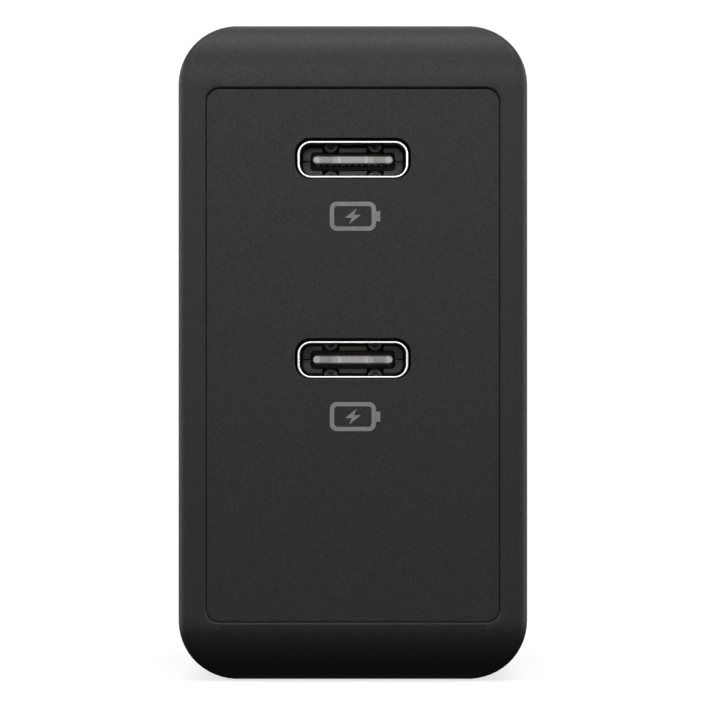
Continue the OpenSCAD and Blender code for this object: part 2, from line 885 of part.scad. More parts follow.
// Arched leaf that presses on the carrier's flats
module detent_spring() {
    crest = pivot_y - cam_flat - 0.02;
    sheet = 0.25;
    color([0.82, 0.82, 0.84])
        across_x(-1.8, 1.8)
            polygon([
                [bay_floor_y, pivot_z - 4.2], [bay_floor_y, pivot_z - 3.4],
                [crest - sheet, pivot_z - 1.2], [crest - sheet, pivot_z + 1.2],
                [bay_floor_y, pivot_z + 3.1], [bay_floor_y, pivot_z + 3.8],
                [bay_floor_y + sheet, pivot_z + 3.8], [bay_floor_y + sheet, pivot_z + 3.2],
                [crest, pivot_z + 1.3], [crest, pivot_z - 1.3],
                [bay_floor_y + sheet, pivot_z - 3.5], [bay_floor_y + sheet, pivot_z - 4.2]
            ]);
}

// Leaf that presses on a blade's stub, with a tab for its wire
module contact_spring(side) {
    color([0.8, 0.55, 0.35])
        mirror([side > 0 ? 0 : 1, 0, 0])
            across_x(spring_face_x, spring_face_x + spring_sheet) {
                translate([pivot_y - 1.5, pivot_z - 2.2])
                    square([3, spring_top - pivot_z + 2.2]);
                translate([tab_y - 1, tab_z - 0.9])
                    square([plate_y - 0.15 - tab_y + 1, 1.8]);
            }
}

module live_wire() {
    color([0.6, 0.1, 0.1])
        wire([
            [-tab_x, tab_y, tab_z], [-tab_x, 14.7, tab_z], [-9.2, 14, 43.3], [-8.1, 13.7, 43.6],
            [-7.4, 13, 43.7], [-7.6, 12.3, 43.7], [-8.6, 12.1, 43.7], [board_x, 12.1, 43.7]
        ], wire_r);
}

module neutral_wire() {
    color([0.12, 0.12, 0.12])
        wire([
            [tab_x, tab_y, tab_z], [tab_x, 14.2, 43.4], [9.4, 13.6, 45.2], [7.5, 13.6, 46.8],
            [4, 13.7, 47.3], [0, 13.7, 47.3], [-4, 13.6, 47.3], [-7, 13.2, 47.2],
            [-8.4, 12.5, 47.2], [board_x, 12.1, 47.2]
        ], wire_r);
}

// ---------- assembly ----------

housing_shell();
front_panel();
rear_cover();
port_symbol(port_zs[0]);  // port_symbol_upper
port_symbol(port_zs[1]);  // port_symbol_lower
port_shell(port_zs[0]);  // port_shell_upper
port_insulator(port_zs[0]);  // port_insulator_upper
port_tongue(port_zs[0]);  // port_tongue_upper
port_tip(port_zs[0]);  // port_tip_upper
port_mid_plate(port_zs[0]);  // port_mid_plate_upper
port_contacts(port_zs[0]);  // port_contacts_upper
port_springs(port_zs[0]);  // port_springs_upper
port_shell(port_zs[1]);  // port_shell_lower
port_insulator(port_zs[1]);  // port_insulator_lower
port_tongue(port_zs[1]);  // port_tongue_lower
port_tip(port_zs[1]);  // port_tip_lower
port_mid_plate(port_zs[1]);  // port_mid_plate_lower
port_contacts(port_zs[1]);  // port_contacts_lower
port_springs(port_zs[1]);  // port_springs_lower
port_board();
port_controllers();
buck_inductor(-5);  // buck_inductor_left
buck_inductor(5);  // buck_inductor_right
port_capacitor(-5.5);  // port_capacitor_left
port_capacitor(5.5);  // port_capacitor_right
board_header_pins();
main_board();
transformer_core();
transformer_bobbin();
transformer_winding();
bulk_capacitor(0);  // bulk_capacitor_1
bulk_capacitor(1);  // bulk_capacitor_2
bulk_capacitor(2);  // bulk_capacitor_3
output_capacitor(0);  // output_capacitor_1
output_capacitor(1);  // output_capacitor_2
choke_core();
choke_winding(115);  // choke_winding_front
choke_winding(-65);  // choke_winding_rear
line_filter_capacitor();
safety_capacitor();
inrush_thermistor();
fuse();
bridge_rectifier();
power_switch();
feedback_optocoupler();
heat_spreader();
thermal_pad();
insulating_sheet();
plug_carrier();
blade(-1);  // blade_left
blade(1);  // blade_right
blade_tray();
plug_retainer();
retainer_screws();
detent_spring();
contact_spring(-1);  // contact_spring_left
contact_spring(1);  // contact_spring_right
live_wire();
neutral_wire();
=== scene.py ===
"""Looks of the USB wall charger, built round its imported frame.

Lengths are in metres, written as millimetres times MM. The ports face -Y, the wall is at +Y, +Z is up.
"""

import json
import math

import bmesh
import bpy
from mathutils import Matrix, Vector

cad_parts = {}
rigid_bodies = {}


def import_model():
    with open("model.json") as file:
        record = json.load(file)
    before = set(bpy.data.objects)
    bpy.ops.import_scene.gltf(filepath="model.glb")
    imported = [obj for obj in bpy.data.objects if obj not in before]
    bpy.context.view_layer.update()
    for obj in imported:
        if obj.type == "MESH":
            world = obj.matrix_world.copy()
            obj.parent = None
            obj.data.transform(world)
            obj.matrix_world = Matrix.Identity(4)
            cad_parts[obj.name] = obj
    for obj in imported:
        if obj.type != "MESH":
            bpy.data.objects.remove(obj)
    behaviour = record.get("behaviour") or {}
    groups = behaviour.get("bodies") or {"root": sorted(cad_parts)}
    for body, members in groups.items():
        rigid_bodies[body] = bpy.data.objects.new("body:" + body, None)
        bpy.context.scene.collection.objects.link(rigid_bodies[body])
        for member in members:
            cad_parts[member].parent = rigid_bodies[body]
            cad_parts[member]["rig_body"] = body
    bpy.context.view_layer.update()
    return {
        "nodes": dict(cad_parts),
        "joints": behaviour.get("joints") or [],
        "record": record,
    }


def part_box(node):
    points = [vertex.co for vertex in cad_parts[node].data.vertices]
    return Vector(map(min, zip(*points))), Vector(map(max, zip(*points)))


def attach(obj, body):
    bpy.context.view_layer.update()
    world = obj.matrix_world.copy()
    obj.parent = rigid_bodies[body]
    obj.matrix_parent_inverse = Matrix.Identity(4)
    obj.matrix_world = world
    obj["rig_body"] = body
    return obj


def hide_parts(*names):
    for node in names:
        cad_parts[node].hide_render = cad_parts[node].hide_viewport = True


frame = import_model()

MM = 0.001
NODES = frame["nodes"]
SLOTS = {part["node"]: part["material_slot"] for part in frame["record"]["subparts"]}

# ---------- sizes that the frame gives ----------

shell_low, shell_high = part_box("housing_shell")
cover_low, cover_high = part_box("rear_cover")
panel_low, panel_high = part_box("front_panel")

body_w = shell_high.x - shell_low.x
body_h = shell_high.z - shell_low.z
mid_z = (shell_high.z + shell_low.z) / 2
front_y = shell_low.y
housing_end_y = shell_high.y
rear_y = cover_high.y

# ---------- sizes of the outer form ----------

CORNER_R = 4.85 * MM
BROW_R = 4.75 * MM
REAR_R = 2.6 * MM
EDGE_R = 0.75 * MM
SEAM_GAP = 0.1 * MM
SEAM_EDGE = 0.08 * MM
SIDE_WALL = 1.5 * MM
END_WALL = 1.8 * MM
FRONT_WALL = 1.6 * MM
INNER_BROW_R = 1.8 * MM
INNER_EDGE_R = 0.3 * MM

PANEL_W = 22.93 * MM
PANEL_H = 41.73 * MM
PANEL_R = 1.05 * MM
PANEL_GAP = 0.035 * MM
PANEL_EDGE_R = 0.03 * MM
FLANGE_D = 1 * MM
FLANGE_R = 1.5 * MM
WINDOW_LIP_R = 0.2 * MM

PORT_R = 0.9 * MM
PORT_SHEET = 0.17 * MM
PORT_SIDE_GAP = 0.2 * MM
PORT_END_GAP = 0.13 * MM
PORT_WINDOW_RISE = 0.08 * MM
PORT_WINDOW_LIP_R = 0.07 * MM
WINDOW_CUT = 0.2 * MM
PORT_LIP_EDGE_R = 0.05 * MM
PORT_LEG_W = 1 * MM
PORT_LEG_L = 2 * MM
PORT_LEG_INSET = 0.01 * MM

# points of a loft nearer than this are one point
SAME_POINT = 1e-7
# an angle in radians under which two directions count as one
FLAT_TURN = 1e-4

# how finely arcs are divided
ARC_STEPS = 14
BAND_STEPS = 12
FILLET_STEPS = 6
LIP_STEPS = 4
ROD_STEPS = 32
SCOOP_STEPS = 8

# how far a cutter runs past what it cuts
FAR = 1 * MM


# ---------- outlines and skins ----------


def rounded_outline(width, height, radius, z):
    """(x, z, normal x, normal z) round a rounded rectangle, as many points whatever its size."""
    spots = []
    for corner, (side_x, side_z) in enumerate(((1, 1), (-1, 1), (-1, -1), (1, -1))):
        centre_x = side_x * (width / 2 - radius)
        centre_z = z + side_z * (height / 2 - radius)
        for step in range(ARC_STEPS + 1):
            angle = math.radians(90 * (corner + step / ARC_STEPS))
            nx, nz = math.cos(angle), math.sin(angle)
            spots.append((centre_x + radius * nx, centre_z + radius * nz, nx, nz))
    return spots


def flat_loop(spots, y):
    """The outline's points in the plane at y."""
    return [Vector((spot[0], y, spot[1])) for spot in spots]


def skin(bm, loops, closed=False):
    """Faces between loops of equal length. The ends get a cap, or join when closed."""
    rows = [[bm.verts.new(point) for point in loop] for loop in loops]
    pairs = list(zip(rows, rows[1:] + rows[:1])) if closed else list(zip(rows, rows[1:]))
    for row, following in pairs:
        for i in range(len(row)):
            j = (i + 1) % len(row)
            bm.faces.new((row[i], row[j], following[j], following[i]))
    if not closed:
        bm.faces.new(rows[0])
        bm.faces.new(rows[-1])


def cleaned(bm):
    """Merges the rows that meet in one point, and turns every face outwards."""
    bmesh.ops.remove_doubles(bm, verts=bm.verts, dist=SAME_POINT)
    bmesh.ops.dissolve_degenerate(bm, dist=SAME_POINT, edges=bm.edges)
    bmesh.ops.recalc_face_normals(bm, faces=bm.faces)
    return bm


def solid(loops, closed=False):
    """A new bmesh of one lofted solid."""
    bm = bmesh.new()
    skin(bm, loops, closed)
    return cleaned(bm)


class Form:
    """A rounded bar along Y whose end is also rounded in side view, with one fillet round the end."""

    def __init__(self, width, height, corner, brow, edge, face_y, facing):
        self.width, self.height, self.corner = width, height, corner
        self.brow, self.edge, self.face_y, self.facing = brow, edge, face_y, facing
        self.flat = height / 2 - brow

    def outline(self, inset=0.0):
        return rounded_outline(self.width - 2 * inset, self.height - 2 * inset,
                               self.corner - inset, z=mid_z)

    def face(self, z):
        """y of the end face at a height."""
        rise = max(abs(z - mid_z) - self.flat, 0)
        return self.face_y - self.facing * (self.brow - math.sqrt(max(self.brow**2 - rise**2, 0)))

    def fillet(self):
        """Loops round the edge between the sides and the end."""
        loops = [[] for _ in range(FILLET_STEPS + 1)]
        reach = self.brow - self.edge
        for x, z, nx, nz in self.outline(self.edge):
            slope = min(max((abs(z - mid_z) - self.flat) / reach, 0), 1)
            lean = math.sqrt(1 - slope**2)
            centre = Vector((x, self.face_y - self.facing * (self.edge + reach * (1 - lean)), z))
            side = Vector((nx, 0, nz))
            front = Vector((0, self.facing * lean, math.copysign(slope, z - mid_z)))
            turn = side.angle(front)
            for step, loop in enumerate(loops):
                part = step / FILLET_STEPS
                normal = front
                if turn > FLAT_TURN:
                    normal = side * math.sin((1 - part) * turn) + front * math.sin(part * turn)
                    normal /= math.sin(turn)
                loop.append(centre + self.edge * normal)
        return loops

    def band(self, start, spots):
        """Loops over the end face from the fillet's last loop in to an outline."""
        loops = []
        for step in range(1, BAND_STEPS + 1):
            part = 1 - math.cos(math.radians(90 * step / BAND_STEPS))
            loop = []
            for point, spot in zip(start, spots):
                x = point.x + part * (spot[0] - point.x)
                z = point.z + part * (spot[1] - point.z)
                loop.append(Vector((x, self.face(z), z)))
            loops.append(loop)
        return loops

    def sides(self, end_y, edge):
        """Loops at the open end, its edge slightly broken."""
        return [
            flat_loop(self.outline(edge), end_y),
            flat_loop(self.outline(), end_y + self.facing * edge),
            flat_loop(self.outline(), end_y + self.facing * 3 * edge),
        ]


def mouth(width, height, radius, lip, face, z):
    """Loops of an opening's rounded lip, from the face towards +Y. Face gives the face's y at a height."""
    loops = []
    for step in range(LIP_STEPS + 1):
        angle = math.radians(90 * step / LIP_STEPS)
        spread = lip * (1 - math.sin(angle))
        spots = rounded_outline(width + 2 * spread, height + 2 * spread, radius + spread, z=z)
        depth = lip * (1 - math.cos(angle))
        loops.append([Vector((spot[0], face(spot[1]) + depth, spot[1])) for spot in spots])
    return loops


# ---------- turning meshes into pieces ----------


def mesh_object(name, bm):
    """A linked object from a bmesh, which is freed."""
    mesh = bpy.data.meshes.new(name)
    bm.to_mesh(mesh)
    bm.free()
    made = bpy.data.objects.new(name, mesh)
    bpy.context.scene.collection.objects.link(made)
    return made


def block(low, high):
    """A bmesh box between two corners, to join to a piece or to cut from it."""
    bm = bmesh.new()
    bmesh.ops.create_cube(bm, size=1)
    for vert in bm.verts:
        vert.co = Vector([low[i] if vert.co[i] < 0 else high[i] for i in range(3)])
    return bm


def combine(target, operation, *tools):
    """Joins bmesh solids to an object or cuts them from it, exactly."""
    for tool in tools:
        cutter = mesh_object("tool", tool)
        modifier = target.modifiers.new("combine", "BOOLEAN")
        modifier.operation = operation
        modifier.solver = "MANIFOLD"
        modifier.object = cutter
        result = target.evaluated_get(bpy.context.evaluated_depsgraph_get())
        shape = bpy.data.meshes.new_from_object(result)
        target.modifiers.clear()
        old = target.data
        target.data = shape
        bpy.data.meshes.remove(old)
        spare = cutter.data
        bpy.data.objects.remove(cutter)
        bpy.data.meshes.remove(spare)


def smooth(piece, angle=35):
    """Smooth shading that keeps real edges, with flat faces left flat."""
    piece.data.shade_smooth()
    piece.data.set_sharp_from_angle(angle=math.radians(angle))
    weighted = piece.modifiers.new("even_shading", "WEIGHTED_NORMAL")
    weighted.keep_sharp = True
    return piece


def stand_for(piece, node):
    """The piece takes the node's place and body, and the material of the node's slot."""
    piece.name = piece.data.name = node + "_look"
    piece.data.materials.clear()
    piece.data.materials.append(finish_of(SLOTS[node]))
    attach(piece, NODES[node]["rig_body"])
    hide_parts(node)


def softened(node, edge):
    """A copy of a CAD node with its sharp edges rounded."""
    bm = bmesh.new()
    bm.from_mesh(NODES[node].data)
    bmesh.ops.remove_doubles(bm, verts=bm.verts, dist=CAD_SAME_POINT)
    bmesh.ops.dissolve_limit(bm, angle_limit=math.radians(FLAT_ANGLE), verts=bm.verts, edges=bm.edges)
    sharp = [e for e in bm.edges if e.is_manifold and e.calc_face_angle(0) > math.radians(SHARP_ANGLE)]
    if edge > 0:
        bmesh.ops.bevel(bm, geom=sharp, offset=edge, offset_type="OFFSET", segments=2,
                        profile=0.5, affect="EDGES", clamp_overlap=True)
    bmesh.ops.recalc_face_normals(bm, faces=bm.faces)
    stand_for(smooth(mesh_object(node, bm), SHARP_ANGLE), node)


# corners of a CAD node nearer than this are one corner
CAD_SAME_POINT = 1e-6
# angles in degrees between two faces, under which they are one and over which their edge is sharp
FLAT_ANGLE = 0.5
SHARP_ANGLE = 50

# how far the sharp edges of the CAD nodes that keep their shape are rounded
SOFT_EDGES = {
    "blade_tray": 0.15 * MM,
    "plug_carrier": 0.2 * MM,
    "blade_left": 0.2 * MM,
    "blade_right": 0.2 * MM,
    "plug_retainer": 0.12 * MM,
    "retainer_screws": 0.04 * MM,
    "detent_spring": 0.03 * MM,
    "contact_spring_left": 0.04 * MM,
    "contact_spring_right": 0.04 * MM,
    "live_wire": 0,
    "neutral_wire": 0,
    "port_insulator_upper": 0.03 * MM,
    "port_insulator_lower": 0.03 * MM,
    "port_springs_upper": 0.03 * MM,
    "port_springs_lower": 0.03 * MM,
    "port_tongue_upper": 0.02 * MM,
    "port_tongue_lower": 0.02 * MM,
    "port_mid_plate_upper": 0.02 * MM,
    "port_mid_plate_lower": 0.02 * MM,
    "port_board": 0.05 * MM,
    "port_controllers": 0.1 * MM,
    "buck_inductor_left": 0.15 * MM,
    "buck_inductor_right": 0.15 * MM,
    "port_capacitor_left": 0.15 * MM,
    "port_capacitor_right": 0.15 * MM,
    "board_header_pins": 0.05 * MM,
    "main_board": 0.05 * MM,
    "transformer_core": 0.15 * MM,
    "transformer_bobbin": 0.08 * MM,
    "transformer_winding": 0.15 * MM,
    "bulk_capacitor_1": 0.2 * MM,
    "bulk_capacitor_2": 0.2 * MM,
    "bulk_capacitor_3": 0.2 * MM,
    "output_capacitor_1": 0.2 * MM,
    "output_capacitor_2": 0.2 * MM,
    "choke_core": 0.15 * MM,
    "choke_winding_front": 0.2 * MM,
    "choke_winding_rear": 0.2 * MM,
    "line_filter_capacitor": 0.25 * MM,
    "safety_capacitor": 0.2 * MM,
    "inrush_thermistor": 0.2 * MM,
    "fuse": 0.08 * MM,
    "bridge_rectifier": 0.1 * MM,
    "power_switch": 0.1 * MM,
    "feedback_optocoupler": 0.1 * MM,
    "heat_spreader": 0.05 * MM,
    "thermal_pad": 0.1 * MM,
    "insulating_sheet": 0.03 * MM,
}

# ---------- housing ----------

RAIL_REACH = 1.4 * MM
RAIL_ROOT = 0.2 * MM
RAIL_T = 0.7 * MM
RAIL_PLAY = 0.05 * MM
FRONT_RAIL_H = 36 * MM
REAR_RAIL_ENDS = (8 * MM, 44 * MM)
GROOVE_TOP = 4.6 * MM
GROOVE_FRONT_Y = -11 * MM
GROOVE_REAR_Y = 0.5 * MM
GROOVE_ROOT_Z = 2.4 * MM
GROOVE_RIB_T = 0.8 * MM
WALL_SINK = 0.3 * MM
SNAP_X = 5 * MM
SNAP_SIZE = Vector((4, 0.8, 0.9)) * MM
SNAP_BACK = 1.55 * MM
SNAP_SINK = 0.1 * MM
SNAP_CLEARANCE = 0.1 * MM


def board_rails():
    """Boxes that hold both circuit boards in the housing."""
    port_low, port_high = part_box("port_board")
    main_low, main_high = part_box("main_board")
    inner_x = body_w / 2 - SIDE_WALL
    ledge_x, root_x = inner_x - RAIL_REACH, inner_x + RAIL_ROOT
    rails = [((ledge_x, port_high.y + RAIL_PLAY, REAR_RAIL_ENDS[0]),
              (root_x, port_high.y + RAIL_T, REAR_RAIL_ENDS[1]))]
    for low_x, high_x in ((-root_x, -ledge_x), (ledge_x, root_x)):
        rails.append(((low_x, port_low.y - RAIL_PLAY - RAIL_T, mid_z - FRONT_RAIL_H / 2),
                      (high_x, port_low.y - RAIL_PLAY, mid_z + FRONT_RAIL_H / 2)))
    rib = (main_high.x + RAIL_PLAY, main_high.x + GROOVE_RIB_T, END_WALL - WALL_SINK)
    wall = (-root_x, main_low.x - RAIL_PLAY, GROOVE_ROOT_Z)
    for low_x, high_x, low_z in (rib, wall):
        for bottom, top in ((low_z, GROOVE_TOP), (body_h - GROOVE_TOP, body_h - low_z)):
            rails.append(((low_x, GROOVE_FRONT_Y, bottom), (high_x, GROOVE_REAR_Y, top)))
    return [block(low, high) for low, high in rails]


def snap_boxes(clearance):
    """Boxes of the snap ridges above and below the spigot, or of their recesses with a clearance."""
    half = SNAP_SIZE / 2 + Vector((clearance, clearance, clearance))
    rise = body_h / 2 - END_WALL - SNAP_SINK
    centres = [Vector((x, housing_end_y - SNAP_BACK, mid_z + side * rise))
               for x in (-SNAP_X, SNAP_X) for side in (-1, 1)]
    return [block(centre - half, centre + half) for centre in centres]


def make_housing():
    outer = Form(body_w, body_h, CORNER_R, BROW_R, EDGE_R, front_y, -1)
    inner = Form(body_w - 2 * SIDE_WALL, body_h - 2 * END_WALL, CORNER_R - SIDE_WALL,
                 INNER_BROW_R, INNER_EDGE_R, front_y + FRONT_WALL, -1)
    window_w, window_h = PANEL_W + 2 * PANEL_GAP, PANEL_H + 2 * PANEL_GAP
    window_r = PANEL_R + PANEL_GAP
    panel_z = (panel_low.z + panel_high.z) / 2
    lip = mouth(window_w, window_h, window_r, WINDOW_LIP_R, outer.face, panel_z)
    window = rounded_outline(window_w, window_h, window_r, z=panel_z)
    lip_start = rounded_outline(window_w + 2 * WINDOW_LIP_R, window_h + 2 * WINDOW_LIP_R,
                                window_r + WINDOW_LIP_R, z=panel_z)
    outer_fillet, inner_fillet = outer.fillet(), inner.fillet()
    loops = outer.sides(housing_end_y, SEAM_EDGE)
    loops += outer_fillet
    loops += outer.band(outer_fillet[-1], lip_start)[:-1]
    loops += lip
    loops += reversed(inner.band(inner_fillet[-1], window))
    loops += reversed(inner_fillet)
    loops.append(flat_loop(inner.outline(), housing_end_y))
    housing = mesh_object("housing", solid(loops, closed=True))
    combine(housing, "UNION", *board_rails())
    combine(housing, "DIFFERENCE", *snap_boxes(SNAP_CLEARANCE))
    stand_for(smooth(housing), "housing_shell")


# ---------- front panel ----------


def make_front_panel():
    z = (panel_low.z + panel_high.z) / 2
    flange_w, flange_h = panel_high.x - panel_low.x, panel_high.z - panel_low.z
    step_y = panel_high.y - FLANGE_D
    loops = [flat_loop(rounded_outline(flange_w, flange_h, FLANGE_R, z=z), y)
             for y in (panel_high.y, step_y)]
    loops.append(flat_loop(rounded_outline(PANEL_W, PANEL_H, PANEL_R, z=z), step_y))
    for step in range(LIP_STEPS + 1):
        angle = math.radians(90 * step / LIP_STEPS)
        inset = PANEL_EDGE_R * (1 - math.cos(angle))
        spots = rounded_outline(PANEL_W - 2 * inset, PANEL_H - 2 * inset, PANEL_R - inset, z=z)
        loops.append(flat_loop(spots, panel_low.y + PANEL_EDGE_R * (1 - math.sin(angle))))
    plate = mesh_object("panel", solid(loops))
    for port in ("upper", "lower"):
        low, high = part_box("port_shell_" + port)
        width, height = high.x - low.x + 2 * PORT_SIDE_GAP, high.z - low.z + 2 * PORT_END_GAP
        radius = PORT_R + PORT_SHEET + PORT_END_GAP
        port_z = (low.z + high.z) / 2 + PORT_WINDOW_RISE
        lip = mouth(width, height, radius, PORT_WINDOW_LIP_R, lambda _: panel_low.y, port_z)
        cutter = [[point - Vector((0, WINDOW_CUT, 0)) for point in lip[0]]] + lip
        cutter.append(flat_loop(rounded_outline(width, height, radius, z=port_z), panel_high.y + WINDOW_CUT))
        combine(plate, "DIFFERENCE", solid(cutter))
    stand_for(smooth(plate), "front_panel")


# ---------- rear cover ----------

SPIGOT_WALL = 1 * MM
SPIGOT_CLEARANCE = 0.1 * MM
PLATE_T = 2 * MM
OPENING_LIP_R = 0.25 * MM
WELL_WALL = 1.2 * MM
BOSS_R = 2 * MM
SCREW_R = 0.78 * MM
SCREW_D = 1.6 * MM
SCREW_X = 6 * MM
SCREW_RISE = 3.6 * MM
BAY_GAP = 0.3 * MM
CARRIER_R = 3.6 * MM
AXLE_BORE_R = 1.68 * MM
BLADE_T = 1.5 * MM
SLOT_W = 2.4 * MM
SCOOP_R = 1.2 * MM
SCOOP_HALF = 7.9 * MM
SCOOP_DROP = 4.4 * MM
SCOOP_RISE = 2.2 * MM
SPRING_POST_W = 1.2 * MM
SPRING_POST_H = 1.8 * MM
SPRING_POST_DROP = 1 * MM
SPRING_POST_SHIFT = 0.16 * MM
SLIT_CLEARANCE = 0.02 * MM
SLIT_RISE = 1 * MM
SLOT_END_ROOM = 1 * MM
FACE_INSET = 1.2 * EDGE_R
OVERLAP = 0.1 * MM

pivot = Vector(frame["joints"][0]["pos_m"])
pivot_depth = rear_y - pivot.y
bay_half = pivot.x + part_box("plug_retainer")[1].x - WELL_WALL
bay_top = pivot.z + CARRIER_R + BAY_GAP
bay_bottom = pivot.z - math.hypot(CARRIER_R, pivot_depth) - BAY_GAP
slot_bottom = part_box("blade_left")[0].z - SLOT_END_ROOM
slot_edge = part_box("blade_right")[0].x + (BLADE_T + SLOT_W) / 2


def arc(x, z, radius, start, end):
    """(x, z) points along an arc between two angles in degrees."""
    angles = [math.radians(start + (end - start) * i / SCOOP_STEPS) for i in range(SCOOP_STEPS + 1)]
    return [(x + radius * math.cos(angle), z + radius * math.sin(angle)) for angle in angles]


def grown(points, distance):
    """An anticlockwise polygon with every side moved outwards by a distance."""
    moved = []
    for i, here in enumerate(points):
        before, after = points[i - 1], points[(i + 1) % len(points)]
        into = Vector((here[0] - before[0], here[1] - before[1])).normalized()
        out = Vector((after[0] - here[0], after[1] - here[1])).normalized()
        normal = Vector((into.y + out.y, -into.x - out.x))
        normal /= normal.length_squared / 2
        moved.append((here[0] + distance * normal.x, here[1] + distance * normal.y))
    return moved


def plug_window():
    """Outline of the opening for the carrier, the blades, the land between them and the scoop."""
    corner_x = SCOOP_HALF - SCOOP_R
    scoop_low, scoop_high = slot_bottom - SCOOP_DROP, slot_bottom + SCOOP_RISE
    meet = math.degrees(math.acos((slot_edge - corner_x) / SCOOP_R))
    right = arc(corner_x, scoop_low + SCOOP_R, SCOOP_R, -90, 0)
    right += arc(corner_x, scoop_high - SCOOP_R, SCOOP_R, 0, meet)
    right += [(slot_edge, bay_bottom), (bay_half, bay_bottom), (bay_half, bay_top)]
    return right + [(-x, z) for x, z in reversed(right)]


def rod(radius, start, end):
    """A bmesh cylinder between two points."""
    axis = (end - start).normalized()
    across = axis.orthogonal().normalized()
    up = axis.cross(across)
    turns = [math.tau * i / ROD_STEPS for i in range(ROD_STEPS)]
    return solid([[centre + radius * (math.cos(t) * across + math.sin(t) * up) for t in turns]
                  for centre in (start, end)])


def prism(width, height, radius, y0, y1):
    """A rounded bar along Y round the middle of the body."""
    return solid([flat_loop(rounded_outline(width, height, radius, z=mid_z), y) for y in (y0, y1)])


def spigot(cover, plate_y):
    """Adds the collar that enters the housing, with its snap ridges."""
    inner_w, inner_h = body_w - 2 * SIDE_WALL, body_h - 2 * END_WALL
    inner_r = CORNER_R - SIDE_WALL
    slack, wall = SPIGOT_CLEARANCE, SPIGOT_CLEARANCE + SPIGOT_WALL
    root_y = housing_end_y + SEAM_GAP + FAR
    combine(cover, "UNION",
            prism(inner_w - 2 * slack, inner_h - 2 * slack, inner_r - slack, cover_low.y, root_y))
    combine(cover, "DIFFERENCE",
            prism(inner_w - 2 * wall, inner_h - 2 * wall, inner_r - wall, cover_low.y - FAR, plate_y))
    combine(cover, "UNION", *snap_boxes(0))


def plug_well(cover, plate_y):
    """Adds the bearing block, the screw bosses and the posts that hold the contact springs."""
    inside = plate_y + OVERLAP
    screws = [Vector((x, pivot.y, bay_top + SCREW_RISE)) for x in (-SCREW_X, SCREW_X)]
    spring_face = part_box("contact_spring_right")[0].x
    spring_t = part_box("contact_spring_right")[1].x - spring_face
    post_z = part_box("contact_spring_right")[1].z - SPRING_POST_DROP
    well_half = bay_half + WELL_WALL
    combine(cover, "UNION",
            block((-well_half, pivot.y, bay_bottom - WELL_WALL), (well_half, inside, bay_top + WELL_WALL)),
            *[rod(BOSS_R, at, Vector((at.x, inside, at.z))) for at in screws])
    for facing in (-1, 1):
        post_x = facing * (spring_face + SPRING_POST_SHIFT)
        slit_x = facing * (spring_face + spring_t / 2)
        slit_half = spring_t / 2 + SLIT_CLEARANCE
        combine(cover, "UNION",
                block((post_x - SPRING_POST_W / 2, pivot.y + OVERLAP, post_z - SPRING_POST_H / 2),
                      (post_x + SPRING_POST_W / 2, inside, post_z + SPRING_POST_H / 2)))
        combine(cover, "DIFFERENCE",
                block((slit_x - slit_half, pivot.y - FAR, post_z - SLIT_RISE),
                      (slit_x + slit_half, plate_y - OVERLAP, post_z + SLIT_RISE)))
    axle_end = Vector((well_half + FAR, 0, 0))
    combine(cover, "DIFFERENCE",
            rod(AXLE_BORE_R, pivot - axle_end, pivot + axle_end),
            *[rod(SCREW_R, at - Vector((0, FAR, 0)), at + Vector((0, SCREW_D, 0))) for at in screws])


def plug_opening(cover):
    """Cuts the opening for the plug, with a rounded lip."""
    window = plug_window()
    cutter = [[Vector((x, pivot.y - FAR, z)) for x, z in window]]
    for step in range(LIP_STEPS + 1):
        angle = math.radians(90 * step / LIP_STEPS)
        y = rear_y - OPENING_LIP_R * (1 - math.sin(angle))
        spread = OPENING_LIP_R * (1 - math.cos(angle))
        cutter.append([Vector((x, y, z)) for x, z in grown(window, spread)])
    cutter.append([point + Vector((0, FAR, 0)) for point in cutter[-1]])
    combine(cover, "DIFFERENCE", solid(cutter))


def make_rear_cover():
    outer = Form(body_w, body_h, CORNER_R, REAR_R, EDGE_R, rear_y, 1)
    fillet = outer.fillet()
    flat = rounded_outline(body_w - 2 * FACE_INSET, 2 * outer.flat, CORNER_R - REAR_R, z=mid_z)
    loops = outer.sides(housing_end_y + SEAM_GAP, SEAM_EDGE) + fillet + outer.band(fillet[-1], flat)
    cover = mesh_object("cover", solid(loops))
    plate_y = rear_y - PLATE_T
    spigot(cover, plate_y)
    plug_well(cover, plate_y)
    plug_opening(cover)
    stand_for(smooth(cover), "rear_cover")


# ---------- ports ----------


def make_port_shell(port):
    """Deep-drawn tube with a flat, slightly rounded front lip and a solder leg on each side."""
    node = "port_shell_" + port
    low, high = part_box(node)
    z = (low.z + high.z) / 2
    board_low, board_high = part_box("port_board")

    def outline(spread):
        return rounded_outline(high.x - low.x + 2 * spread, high.z - low.z + 2 * spread,
                               PORT_R + PORT_SHEET + spread, z=z)

    loops = [flat_loop(outline(0), board_low.y)]
    for step in range(LIP_STEPS + 1):
        angle = math.radians(90 * step / LIP_STEPS)
        inset = PORT_LIP_EDGE_R * (1 - math.cos(angle))
        loops.append(flat_loop(outline(-inset), low.y + PORT_LIP_EDGE_R * (1 - math.sin(angle))))
    for step in range(LIP_STEPS + 1):
        angle = math.radians(90 * step / LIP_STEPS)
        inset = PORT_SHEET - PORT_LIP_EDGE_R * (1 - math.sin(angle))
        loops.append(flat_loop(outline(-inset), low.y + PORT_LIP_EDGE_R * (1 - math.cos(angle))))
    loops.append(flat_loop(outline(-PORT_SHEET), board_low.y))
    shell = mesh_object(node, solid(loops, closed=True))
    for left_x in (low.x, high.x - PORT_SHEET):
        right_x = left_x + PORT_SHEET
        combine(shell, "UNION",
                block((left_x + PORT_LEG_INSET, board_low.y - PORT_LEG_L, z - PORT_LEG_W / 2),
                      (right_x - PORT_LEG_INSET, board_high.y, z + PORT_LEG_W / 2)))
    stand_for(smooth(shell), node)


